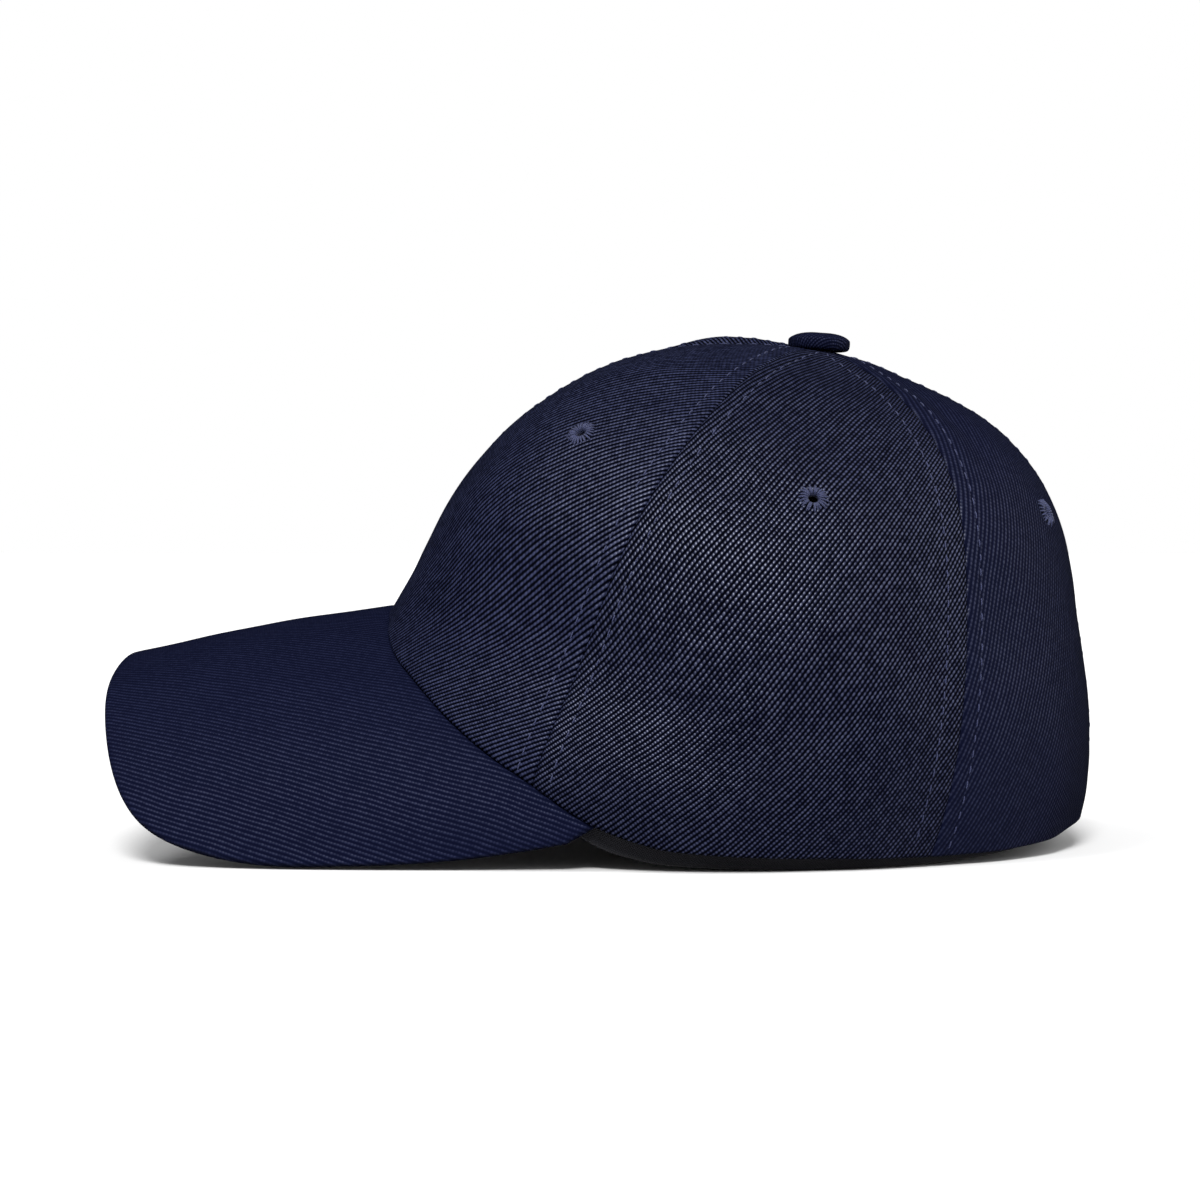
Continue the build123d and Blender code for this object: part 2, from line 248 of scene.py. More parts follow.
def unit(vectors):
    return vectors / np.linalg.norm(vectors, axis=-1, keepdims=True)


def crown_normal(around, down, gore=None):
    """The directions straight out of the crown."""
    step = 0.05
    along = crown_point(around, down + step, gore) - crown_point(
        around, down - step, gore
    )
    across = crown_point(around + step, down, gore) - crown_point(
        around - step, down, gore
    )
    return unit(np.cross(along, across))


def edge_down(around, heights=EDGE, depth=0.0):
    """Angle down from the button at which a layer of the crown meets a height."""
    around = np.asarray(around, float)
    height = heights(np.minimum(np.abs(around), 180))
    low, high = np.full(around.shape, 60.0), np.full(around.shape, 135.0)
    for _ in range(40):
        middle = (low + high) / 2
        point = crown_point(around, middle) - depth * crown_normal(around, middle)
        above = point[..., 2] > height
        low, high = np.where(above, middle, low), np.where(above, high, middle)
    return low


def degrees_down(length, around, down):
    """Angle down that spans a length along the crown."""
    return np.degrees(length / base_radius(around, down))


def degrees_round(length, around, down):
    """Angle round that spans a length across the crown."""
    return np.degrees(length / (base_radius(around, down) * np.sin(np.radians(down))))


def crown_grid(start, end, span, us, vs):
    """Angles round and down at each point of a grid, as the CAD lays it out."""
    around = start(90.0) * (1 - us) + end(90.0) * us
    high, low = span(around)
    down = high[:, None] * (1 - vs) + low[:, None] * vs
    us = us[:, None]
    return start(down) * (1 - us) + end(down) * us, down


def crown_offset():
    """What the CAD's own millimetres are moved by in the shared frame."""
    gore = GORES["rear_left"]
    around = np.linspace(*gore, 60)[:, None]
    low = edge_down(around)
    down = 20 + (low - 20) * np.linspace(0, 1, 200)
    outer = crown_point(around, down, gore)
    inner = outer - CLOTH * crown_normal(around, down, gore)
    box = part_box("panel_rear_left")[0]
    rear = box.x / MM - outer[..., 0].min()
    ground = box.z / MM - min(outer[..., 2].min(), inner[..., 2].min())
    return np.array((rear, 0.0, ground))


OFFSET = crown_offset()


def ragged(points, size, height, seed):
    """A soft, even wandering of a surface, from its points; the same every time."""
    rng = np.random.default_rng(seed)
    total = 0.0
    for _ in range(7):
        way = unit(rng.normal(size=3)) * 2 * math.pi / (size * rng.uniform(0.6, 1.6))
        total = total + np.sin(points @ way + rng.uniform(0, 2 * math.pi))
    return total * height / 7**0.5


def run_lengths(line):
    """Length along a line of points, up to each of them."""
    steps = np.linalg.norm(np.diff(line, axis=0), axis=1)
    return np.concatenate(([0], np.cumsum(steps)))


def along_line(where, length, line):
    """Places on a line of points, by length along it."""
    return np.stack([np.interp(where, length, line[:, k]) for k in range(3)], axis=-1)


def smooth(x):
    x = np.clip(x, 0, 1)
    return x * x * (3 - 2 * x)


def bell(x):
    return np.exp(-(x**2))


def seam_relief(aside, along, phase):
    """Height of cloth beside a double-stitched seam, by distance from the seam."""
    valley = -0.32 * bell(aside / 0.4)
    allowance = 0.12 * bell((aside - 2.2) / 1.6)
    beat = np.cos(2 * math.pi * along / STITCH_PITCH)
    row = -0.1 * bell((aside - STITCH_ROW) / 0.6) * (0.7 + 0.3 * beat)
    wander = np.sin(2 * math.pi * along / 8.3 + phase + 0.8 * np.sin(along / 11))
    return valley + allowance + row + 0.06 * np.exp(-aside / 8) * wander


def relief(name, around, down):
    """How far the sewn cloth of a panel stands out of the plain crown."""
    first, second = GORES[name]
    radius = base_radius(around, down)
    level = radius * np.sin(np.radians(down))
    along = radius * np.radians(down)
    before = np.radians(around - first) * level
    after = np.radians(second - around) * level
    room = smooth((before + after) / 14 - 0.4)
    height = seam_relief(before, along, first) + seam_relief(after, along, second)
    height = height * room - 0.5 * (1 - room)
    middle = smooth(before / 12) * smooth(after / 12)
    points = crown_point(around, down)
    height = height + ragged(points, 34, 0.28, 3) * (0.35 + 0.65 * middle)
    height = height + ragged(points, 13, 0.06, 8) * middle
    for panel, round_to, down_to, length, width, size in SHAPES:
        if panel == name:
            aside = np.radians(around - round_to) * level
            below = np.radians(down - down_to) * radius
            hump = size * bell(aside / width) * bell(below / length)
            fade = smooth(before / 3) * smooth(after / 3) if size > 2 else 1
            height = height + hump * fade
    return height


def sewn_point(name, around, down, lift=0.0):
    """Points on a panel's sewn cloth, or a lift above it."""
    gore = GORES[name]
    height = relief(name, around, down) + lift
    normal = crown_normal(around, down, gore)
    return crown_point(around, down, gore) + normal * np.asarray(height)[..., None]


# ---------------------------------------------------------------- mesh helpers


def build(name, points, faces, uv, material, replaces=()):
    """A piece from points in the CAD's millimetres and faces of point numbers."""
    mesh = bpy.data.meshes.new(name)
    mesh.from_pydata(((points + OFFSET) * MM).tolist(), [], faces)
    corners = np.array([v for face in faces for v in face])
    layer = mesh.uv_layers.new(name="cloth")
    layer.data.foreach_set("uv", (uv[corners] * MM).astype(np.float32).ravel())
    mesh.shade_smooth()
    mesh.set_sharp_from_angle(angle=math.radians(50))
    mesh.materials.append(material)
    piece = bpy.data.objects.new(name, mesh)
    bpy.context.scene.collection.objects.link(piece)
    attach(piece, "root")
    if replaces:
        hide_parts(*replaces)
    return piece


def volume(points, quads):
    """Six times the volume inside a closed mesh of four-sided faces."""
    a, b, c, d = (points[quads[:, k]] for k in range(4))
    return (a * (np.cross(b, c) + np.cross(c, d))).sum()


def shell(name, outer, inner, uv, material, replaces=()):
    """A closed sheet of cloth between two matching grids of points."""
    columns, rows = outer.shape[:2]
    count = columns * rows
    index = np.arange(count).reshape(columns, rows)
    quads = np.stack(
        (index[:-1, :-1], index[1:, :-1], index[1:, 1:], index[:-1, 1:]), axis=-1
    ).reshape(-1, 4)
    ring = np.concatenate(
        (index[:-1, 0], index[-1, :-1], index[:0:-1, -1], index[0, :0:-1])
    )
    after = np.roll(ring, -1)
    walls = np.stack((after, ring, ring + count, after + count), axis=-1)
    faces = np.concatenate((quads, quads[:, ::-1] + count, walls))
    points = np.concatenate((outer.reshape(-1, 3), inner.reshape(-1, 3)))
    if volume(points - points.mean(axis=0), faces) < 0:
        faces = faces[:, ::-1]
    faces = faces.tolist()
    uv = uv.reshape(-1, 2)
    return build(
        name, points, faces, np.concatenate((uv, uv)), material, replaces
    )


def tubes(name, paths, material, sides=6, replaces=()):
    """Threads: one closed tube along each path of (points, radii, side vector)."""
    turns = np.arange(sides) * 2 * math.pi / sides
    points, faces, uv, start = [], [], [], 0
    for line, radii, side in paths:
        count = len(line)
        tangent = unit(np.gradient(line, axis=0))
        up = unit(np.cross(np.broadcast_to(side, tangent.shape), tangent))
        side = unit(np.cross(tangent, up))
        ring = (
            line[:, None]
            + (np.cos(turns)[:, None] * side[:, None] + np.sin(turns)[:, None] * up[:, None])
            * radii[:, None, None]
        )
        length = run_lengths(line)
        points.append(ring.reshape(-1, 3))
        points.append(line[[0, -1]])
        around = turns * np.mean(radii)
        uv.append(
            np.stack(np.broadcast_arrays(length[:, None], around), axis=-1).reshape(-1, 2)
        )
        uv.append(np.array(((0, 0), (length[-1], 0))))
        for i in range(count - 1):
            for k in range(sides):
                after = (k + 1) % sides
                here, there = start + i * sides, start + (i + 1) * sides
                faces.append((here + k, there + k, there + after, here + after))
        last = start + (count - 1) * sides
        for k in range(sides):
            after = (k + 1) % sides
            faces.append((start + count * sides, start + k, start + after))
            faces.append((start + count * sides + 1, last + after, last + k))
        start += count * sides + 2
    points, uv = np.concatenate(points), np.concatenate(uv)
    return build(name, points, faces, uv, material, replaces)


# ---------------------------------------------------------------- materials


class Surface:
    """A procedural material, with short ways to add and join its nodes."""

    def __init__(self, name):
        self.material = bpy.data.materials.new(name)
        self.material.use_nodes = True
        self.tree = self.material.node_tree
        self.tree.nodes.clear()
        self.shader = self.tree.nodes.new("ShaderNodeBsdfPrincipled")
        output = self.tree.nodes.new("ShaderNodeOutputMaterial")
        self.tree.links.new(self.shader.outputs[0], output.inputs[0])

    def put(self, socket, value):
        if isinstance(value, bpy.types.NodeSocket):
            self.tree.links.new(value, socket)
        elif value is not None:
            socket.default_value = value

    def node(self, kind, *values, out=0, **settings):
        made = self.tree.nodes.new("ShaderNode" + kind)
        for key, value in settings.items():
            setattr(made, key, value)
        for socket, value in zip(made.inputs, values):
            self.put(socket, value)
        return made.outputs[out]

    def math(self, operation, a, b=None, c=None):
        return self.node("Math", a, b, c, operation=operation)

    def vector(self, operation, a, b=None, c=None):
        return self.node("VectorMath", a, b, c, operation=operation)

    def wave(self, phase):
        """A wave from 0 to 1 and back with each whole step of its phase."""
        swing = self.math("COSINE", self.math("MULTIPLY", phase, 2 * math.pi))
        return self.math("MULTIPLY_ADD", swing, -0.5, 0.5)

    def turned(self, place, angle):
        made = self.tree.nodes.new("ShaderNodeVectorRotate")
        made.rotation_type = "Z_AXIS"
        self.put(made.inputs["Vector"], place)
        made.inputs["Angle"].default_value = math.radians(angle)
        return made.outputs[0]

    def split(self, place):
        made = self.tree.nodes.new("ShaderNodeSeparateXYZ")
        self.put(made.inputs[0], place)
        return made.outputs[0], made.outputs[1]

    def join(self, x, y):
        return self.node("CombineXYZ", x, y)

    def random(self, cell):
        made = self.tree.nodes.new("ShaderNodeTexWhiteNoise")
        made.noise_dimensions = "2D"
        self.put(made.inputs["Vector"], cell)
        return made.outputs[0]

    def noise(self, place, scale, detail=2.0, roughness=0.5, out="Factor"):
        made = self.tree.nodes.new("ShaderNodeTexNoise")
        self.put(made.inputs["Vector"], place)
        made.inputs["Scale"].default_value = scale
        made.inputs["Detail"].default_value = detail
        made.inputs["Roughness"].default_value = roughness
        return made.outputs["Color" if out == "Color" else 0]

    def ramp(self, factor, stops):
        made = self.tree.nodes.new("ShaderNodeValToRGB")
        elements = made.color_ramp.elements
        while len(elements) < len(stops):
            elements.new(0.5)
        for element, (position, colour) in zip(elements, stops):
            element.position = position
            element.color = (*colour, 1)
        self.put(made.inputs[0], factor)
        return made.outputs[0]

    def cloth_place(self):
        """Place on the flat cloth, in millimetres."""
        made = self.tree.nodes.new("ShaderNodeUVMap")
        made.uv_map = "cloth"
        return self.scaled(made.outputs[0])

    def scaled(self, vector):
        made = self.tree.nodes.new("ShaderNodeVectorMath")
        made.operation = "SCALE"
        self.put(made.inputs[0], vector)
        made.inputs["Scale"].default_value = 1000.0
        return made.outputs[0]

    def solid_place(self):
        """Place in the object, in millimetres."""
        made = self.tree.nodes.new("ShaderNodeTexCoord")
        return self.scaled(made.outputs["Object"])

    def bump(self, height, distance, strength=1.0):
        made = self.tree.nodes.new("ShaderNodeBump")
        made.inputs["Strength"].default_value = strength
        made.inputs["Distance"].default_value = distance * MM
        self.put(made.inputs["Height"], height)
        return made.outputs[0]

    def finish(self, colour, normal=None, **sockets):
        self.put(self.shader.inputs["Base Color"], colour)
        self.put(self.shader.inputs["Normal"], normal)
        for name, value in sockets.items():
            self.put(self.shader.inputs[name.replace("_", " ")], value)
        return self.material


# Twill colours: NAVY_GROOVE_SHADE is painted shade, near black, for the grooves; NAVY is the cloth's
# own navy; NAVY_LIT is a painted highlight for the crests.
NAVY_GROOVE_SHADE = (0.0002, 0.0003, 0.0014)
NAVY = (0.0038, 0.0050, 0.0180)
NAVY_LIT = (0.022, 0.028, 0.078)


def blend(a, b, share):
    return tuple(x * (1 - share) + y * share for x, y in zip(a, b))


def twill(name, angle, pitch=1.15, depth=1.0, beads=0.5, shine=0.2):
    """Dyed twill: slanting ribs, each a row of short shining floats of yarn. Its colour carries painted
    shade, near black, in the grooves and a painted highlight on the crests, and its gloss tint is
    painted dark in the grooves.
    """
    s = Surface(name)
    flat = s.cloth_place()
    half = (0.5, 0.5, 0.5)
    wander = s.vector("SUBTRACT", s.noise(flat, 0.03, out="Color"), half)
    fine = s.vector("SUBTRACT", s.noise(flat, 0.9, out="Color"), half)
    place = s.vector("MULTIPLY_ADD", wander, (2.4, 2.4, 0), flat)
    place = s.vector("MULTIPLY_ADD", fine, (0.18, 0.18, 0), place)
    place = s.turned(place, -angle)
    along, across = s.split(place)
    row = s.math("DIVIDE", across, pitch)
    rib = s.wave(row)
    step = s.math("MULTIPLY", s.math("FLOOR", row), 0.07)
    step = s.math("MULTIPLY_ADD", along, 1 / 0.84, step)
    bead = s.wave(step)
    height = s.math("MULTIPLY", rib, s.math("MULTIPLY_ADD", bead, beads, 1 - beads))
    cell = s.join(s.math("FLOOR", step), s.math("FLOOR", row))
    yarn = s.random(cell)
    streak = s.noise(s.join(s.math("MULTIPLY", along, 0.08), row), 1.0, detail=2)
    patch = s.noise(flat, 0.05, detail=3)
    tone = s.math("MULTIPLY", height, s.math("MULTIPLY_ADD", yarn, 0.45, 0.72))
    tone = s.math("MULTIPLY", tone, s.math("MULTIPLY_ADD", streak, 0.4, 0.8))
    tone = s.math("MULTIPLY", tone, s.math("MULTIPLY_ADD", patch, 0.25, 0.87))
    # Painted shade and painted highlight: low places between ribs and beads go near black, high ones go
    # to the lit crest colour; depth sets how strong both are.
    groove, crest = (blend(NAVY, c, depth) for c in (NAVY_GROOVE_SHADE, NAVY_LIT))
    colour = s.ramp(tone, ((0.08, groove), (0.38, NAVY), (0.95, crest)))
    fuzz = s.noise(flat, 4.5, detail=1)
    level = s.math("MULTIPLY_ADD", fuzz, 0.06, height)
    level = s.math("MULTIPLY_ADD", yarn, 0.08, level)
    polish = s.ramp(height, ((0.3, (0.9,) * 3), (0.8, (0.38,) * 3)))
    # Painted shade on the reflection: the gloss tint falls to black in the grooves and is light on the
    # crests.
    gloss = s.ramp(tone, ((0.3, (0.0,) * 3), (0.95, (0.86, 0.9, 1.0))))
    return s.finish(
        colour,
        s.bump(level, 0.10),
        Roughness=polish,
        Specular_IOR_Level=shine,
        Specular_Tint=gloss,
    )


def thread_material(name, dark, light):
    """Twisted sewing thread."""
    s = Surface(name)
    along, across = s.split(s.cloth_place())
    phase = s.math("MULTIPLY_ADD", across, 2.0, s.math("MULTIPLY", along, 1.6))
    swing = s.math("SINE", s.math("MULTIPLY", phase, 2 * math.pi))
    twist = s.math("MULTIPLY_ADD", swing, 0.5, 0.5)
    wear = s.noise(s.solid_place(), 0.35, detail=3)
    # Painted shade: the colour darkens in the valleys of the twist, and also varies at random with
    # wear.
    tone = s.math("MULTIPLY_ADD", twist, 0.55, s.math("MULTIPLY", wear, 0.5))
    colour = s.ramp(tone, ((0.1, dark), (0.9, light)))
    return s.finish(
        colour, s.bump(twist, 0.08), Roughness=0.5, Specular_IOR_Level=0.35,
        Sheen_Weight=0.1,
    )


def plain_weave(name, dark, light, pitch, depth=0.2):
    """A plain over-and-under weave, for tapes, bands and stiff backing."""
    s = Surface(name)
    place = s.cloth_place()
    jitter = s.vector("MULTIPLY_ADD", s.noise(place, 0.5, out="Color"), (0.4, 0.4, 0), place)
    along, across = s.split(jitter)
    warp = s.math("SINE", s.math("MULTIPLY", along, 2 * math.pi / pitch))
    weft = s.math("SINE", s.math("MULTIPLY", across, 2 * math.pi / pitch))
    weave = s.math("MULTIPLY_ADD", s.math("MULTIPLY", warp, weft), 0.5, 0.5)
    grain = s.noise(place, 2.4, detail=3)
    patch = s.noise(place, 0.07, detail=3)
    # Painted shade: the colour darkens where the yarns dip in the weave, and also varies at random with
    # grain and patches.
    tone = s.math("MULTIPLY_ADD", weave, 0.5, s.math("MULTIPLY", grain, 0.3))
    tone = s.math("MULTIPLY_ADD", patch, 0.3, tone)
    colour = s.ramp(tone, ((0.15, dark), (0.9, light)))
    return s.finish(
        colour, s.bump(weave, depth), Roughness=0.85, Specular_IOR_Level=0.2,
        Sheen_Weight=0.08,
    )


def hard_material(name, dark, light, metallic, rough, grain_size):
    """Metal or board, with a worn, slightly uneven surface."""
    s = Surface(name)
    place = s.solid_place()
    grain = s.noise(place, grain_size, detail=6, roughness=0.65)
    patch = s.noise(place, 0.12, detail=3)
    tone = s.math("MULTIPLY_ADD", grain, 0.6, s.math("MULTIPLY", patch, 0.4))
    colour = s.ramp(tone, ((0.3, dark), (0.7, light)))
    roughness = s.math("MULTIPLY_ADD", patch, 0.25, rough - 0.1)
    return s.finish(
        colour, s.bump(grain, 0.03), Roughness=roughness, Metallic=metallic
    )


# The fourth number, depth, sets the strength of the painted groove shade and crest highlight, panel by
# panel: full on the front and side panels, weaker on the button, rear panels and visor.
TWILLS = {
    "front": twill("twill_front", TWILL_ANGLES["front"], 1.15, 1.0, 0.35, 0.6),
    "side": twill("twill_side", TWILL_ANGLES["side"], 1.12, 1.0, 0.55, 0.95),
    "rear": twill("twill_rear", TWILL_ANGLES["rear"], 1.12, 0.35, 0.4, 0.28),
}
VISOR_MATERIAL = twill("twill_visor", VISOR_TWILL, 1.22, 0.3, 0.35, 0.1)
BUTTON_MATERIAL = twill("twill_button", 30.0, 0.9, 0.5, 0.5, 0.2)
THREAD = thread_material("thread_navy", (0.010, 0.013, 0.042), (0.045, 0.055, 0.14))
TAPE_MATERIAL = plain_weave("tape_navy", (0.004, 0.005, 0.012), (0.03, 0.034, 0.06), 0.8)
BAND_MATERIAL = plain_weave("band_black", (0.0025, 0.0025, 0.004), (0.02, 0.02, 0.026), 0.7)
CORE_MATERIAL = plain_weave("core_felt", (0.008, 0.008, 0.011), (0.03, 0.03, 0.036), 1.6)
BUCKRAM_MATERIAL = plain_weave("buckram_dark", (0.006, 0.007, 0.012), (0.06, 0.063, 0.08), 1.3, 0.4)
METAL = hard_material("button_steel", (0.25, 0.25, 0.26), (0.55, 0.55, 0.57), 1.0, 0.35, 1.4)
BOARD = hard_material("visor_plastic", (0.012, 0.012, 0.014), (0.035, 0.035, 0.04), 0.0, 0.55, 0.8)


# ---------------------------------------------------------------- crown


def spread_toward_ends(edge, edge_count, middle_count):
    """Steps from 0 to 1 that are close together near both ends."""
    return np.concatenate(
        (
            np.linspace(0, edge, edge_count)[:-1],
            np.linspace(edge, 1 - edge, middle_count),
            np.linspace(1 - edge, 1, edge_count)[1:],
        )
    )


def roll_drop(inward, radius):
    """How far a rounded edge falls away, by distance in from the edge."""
    level = np.clip(radius - inward, 0, radius * 0.98)
    return radius - np.sqrt(radius**2 - level**2)


def flat_place(around, down, middle):
    """Place on the flat pattern: across from its middle line, and down."""
    radius = base_radius(around, down)
    across = np.radians(around - middle) * radius * np.sin(np.radians(down))
    return np.stack((across, radius * np.radians(down)), axis=-1)


def flat_size(outer):
    """Width, length and area of the flat cut of a grid, with seam allowances."""
    widths = np.linalg.norm(np.diff(outer, axis=0), axis=2).sum(axis=0)
    lengths = np.linalg.norm(np.diff(outer, axis=1), axis=2).sum(axis=1)
    width, length = widths.max(), lengths.max()
    steps = np.linalg.norm(np.diff(outer, axis=1), axis=2).mean(axis=0)
    area = ((widths[1:] + widths[:-1]) / 2 * steps).sum()
    area += SEAM_ALLOWANCE * 2 * length
    width += 2 * SEAM_ALLOWANCE
    length += 2 * SEAM_ALLOWANCE
    return (width * MM, length * MM), min(area, width * length) * MM**2


def eyelet_frame(name, side):
    """Centre, outward normal and two directions in the cloth of one eyelet."""
    around, down = next((a * side, d) for n, a, d in EYELETS if n == name)
    panel = f"{name}_{'left' if side > 0 else 'right'}"
    centre = sewn_point(panel, np.array([around]), np.array([down]))[0]
    normal = crown_normal(np.array([around]), np.array([down]), GORES[panel])[0]
    across = unit(np.cross((0.0, 0.0, 1.0), normal))
    return centre, normal, across, np.cross(normal, across)


def cut_hole(piece, name, side):
    """Cuts the round hole of an eyelet through a panel."""
    centre, normal, across, up = eyelet_frame(name, side)
    turns = np.arange(24) * math.pi / 12
    ring = (np.cos(turns)[:, None] * across + np.sin(turns)[:, None] * up) * EYELET_HOLE
    points = np.concatenate((centre + ring + normal * 4, centre + ring - normal * 5))
    count = len(turns)
    faces = [tuple(range(count)), tuple(range(2 * count - 1, count - 1, -1))]
    for k in range(count):
        after = (k + 1) % count
        faces.append((after, k, k + count, after + count))
    mesh = bpy.data.meshes.new("cutter")
    mesh.from_pydata(((points + OFFSET) * MM).tolist(), [], faces)
    cutter = bpy.data.objects.new("cutter", mesh)
    bpy.context.scene.collection.objects.link(cutter)
    modifier = piece.modifiers.new("hole", "BOOLEAN")
    modifier.object, modifier.operation, modifier.solver = cutter, "DIFFERENCE", "FAST"
    bpy.context.view_layer.update()
    cut = bpy.data.meshes.new_from_object(
        piece.evaluated_get(bpy.context.evaluated_depsgraph_get())
    )
    piece.modifiers.clear()
    piece.data = cut
    bpy.data.objects.remove(cutter)


def make_panel(name):
    """One outer panel: sewn valleys at its sides, and a folded hem at its edge."""
    first, second = GORES[name]
    margin = 0.05
    part, side = name.split("_")

    def start(down):
        return first + degrees_round(margin, first, down)

    def end(down):
        return second - degrees_round(margin, second, down)

    def span(around):
        return np.full_like(around, math.degrees(TOP_HOLE / FRONT_RADII[0])), edge_down(around)

    us = spread_toward_ends(0.065, 17, 44)
    hem = 1 - np.cos(np.linspace(0, math.pi / 2, 8)[1:])
    vs = np.concatenate((np.linspace(0, 0.988, 190), 1 - 0.012 * hem[::-1], [1.0]))
    vs = np.unique(np.round(vs, 7))
    around, down = crown_grid(start, end, span, us, vs)
    edge = down[:, -1:]
    inward = np.radians(edge - down) * base_radius(around, down)
    drop = roll_drop(inward, RIM_ROLL)
    height = relief(name, around, down)
    hem_thick = (2 * RIM_ROLL - CLOTH) * smooth((HEM_HEIGHT - inward) / 2)
    gore = GORES[name]
    points = crown_point(around, down, gore)
    normal = crown_normal(around, down, gore)
    outer = points + normal * (height - drop)[..., None]
    inner_height = np.minimum(height - CLOTH, -LINING_DEPTH) - hem_thick + drop
    inner_height = np.where(inward < RIM_ROLL, height - 2 * RIM_ROLL + drop, inner_height)
    inner_height = np.minimum(inner_height, height - drop - 0.03)
    inner = points + normal * inner_height[..., None]
    uv = flat_place(around, down, (first + second) / 2)
    sides = 1 if side == "left" else -1
    piece = shell(
        f"cloth_panel_{name}", outer, inner, uv, TWILLS[part],
        [f"panel_{name}"],
    )
    cut_hole(piece, part, sides)
    flat, area = flat_size(points)
    return piece


def lockstitch(name, seam, side, lift=0.0):
    """Paths of the stitches in one row beside a seam, on the named panel."""
    top = math.degrees((BUTTON_RADIUS + 0.5) / FRONT_RADII[0])
    low = float(edge_down(np.array([seam]))[0])
    down = np.linspace(top, low, 900)
    first, second = GORES[name]
    width = np.radians(second - first) * base_radius(seam, down) * np.sin(np.radians(down))
    away = np.minimum(UNEVEN_ROWS.get((name, seam), STITCH_ROW), width * 0.4)
    away = away * side
    edge = seam
    if seam == 180.0 and first < 0:
        edge = -180.0
    around = edge + degrees_round(away, edge, down)
    line = sewn_point(name, around, down)
    normal = crown_normal(around, down, GORES[name])
    length = run_lengths(line)
    paths = []
    rng = np.random.default_rng(int(abs(seam)) + 7 * (side > 0))
    centres = np.arange(2.0, length[-1] - 3.0, STITCH_PITCH)
    for centre in centres:
        half = STITCH_LENGTH / 2 * rng.uniform(0.92, 1.06)
        at = centre + np.linspace(-half, half, 7)
        reach = np.abs(np.linspace(-1, 1, 7))
        point = along_line(at, length, line)
        out = unit(along_line(at, length, normal))
        aside = unit(np.cross(point[-1] - point[0], out[3]))
        rise = STITCH_RADIUS * (0.75 - 2.3 * reach**3) + lift
        point = point + out * rise[:, None] + aside * (rng.uniform(-0.07, 0.07) + at[:, None] * 0)
        radii = STITCH_RADIUS * (1 - 0.25 * reach**2)
        paths.append((point, radii, aside))
    return paths


def make_stitches():
    for name, (seam, before, after) in SEAMS.items():
        paths = lockstitch(before, seam, -1) + lockstitch(after, seam, 1)
        tubes(f"topstitch_{name}", paths, THREAD)


def make_eyelet(name, side):
    """Buttonhole threads round a hole, each turned over the edge of the cloth."""
    word = "left" if side > 0 else "right"
    centre, normal, across, up = eyelet_frame(name, side)
    rng = np.random.default_rng(len(name) * 10 + side)
    count = EYELET_THREADS
    depth = 2.1 if name == "front" else 1.3
    paths = []
    for k in range(count):
        turn = (k + rng.uniform(-0.22, 0.22)) * 2 * math.pi / count
        away = math.cos(turn) * across + math.sin(turn) * up
        aside = np.cross(normal, away)
        reach = 3.9 + rng.uniform(-0.55, 0.35)
        back = 3.3 + rng.uniform(-0.3, 0.3)
        steps = (
            (reach, -0.22), (reach - 0.3, 0.10), (reach - 0.9, 0.30), (2.7, 0.42),
            (2.2, 0.42), (1.8, 0.28), (1.52, -0.05), (1.48, -depth / 2),
            (1.52, -depth), (1.85, -depth - 0.3), (2.4, -depth - 0.38),
            (back - 0.4, -depth - 0.25), (back, -depth + 0.1),
        )
        steps = np.array(steps)
        line = centre + steps[:, :1] * away + steps[:, 1:] * normal
        line = line + aside * (rng.uniform(-0.14, 0.14) * (steps[:, :1] - 1.5) / 2.4)
        radii = np.array((0.16, 0.24, 0.29, 0.3, 0.29, 0.26, 0.23, 0.22, 0.23, 0.26, 0.29, 0.26, 0.16))
        paths.append((line, radii, aside))
    tubes(
        f"eyelet_thread_{name}_{word}", paths, THREAD, sides=8,
        replaces=[f"eyelet_{name}_{word}"],
    )


# ---------------------------------------------------------------- lining


def crown_layer(name, start, end, span, depth, thick, material, middle, replaces,
                columns=25, rows=120, wave=0.1, seed=5):
    """A thin layer inside the crown, softly uneven, with rounded edges."""
    us = spread_toward_ends(0.04, 5, columns)
    vs = spread_toward_ends(0.02, 5, rows)
    around, down = crown_grid(start, end, span, us, vs)
    points, normal = crown_point(around, down), crown_normal(around, down)
    wander = ragged(points, 16, wave, seed)
    edge = np.minimum(np.minimum(us, 1 - us)[:, None] / 0.04, np.minimum(vs, 1 - vs) / 0.02)
    pinch = thick * 0.42 * (1 - smooth(edge))
    outer = points - normal * (depth + pinch + np.maximum(wander, -0.05))[..., None]
    inner = points - normal * (depth + thick - pinch + wander)[..., None]
    uv = flat_place(around, down, middle)
    piece = shell(name, outer, inner, uv, material, replaces)
    return piece, points


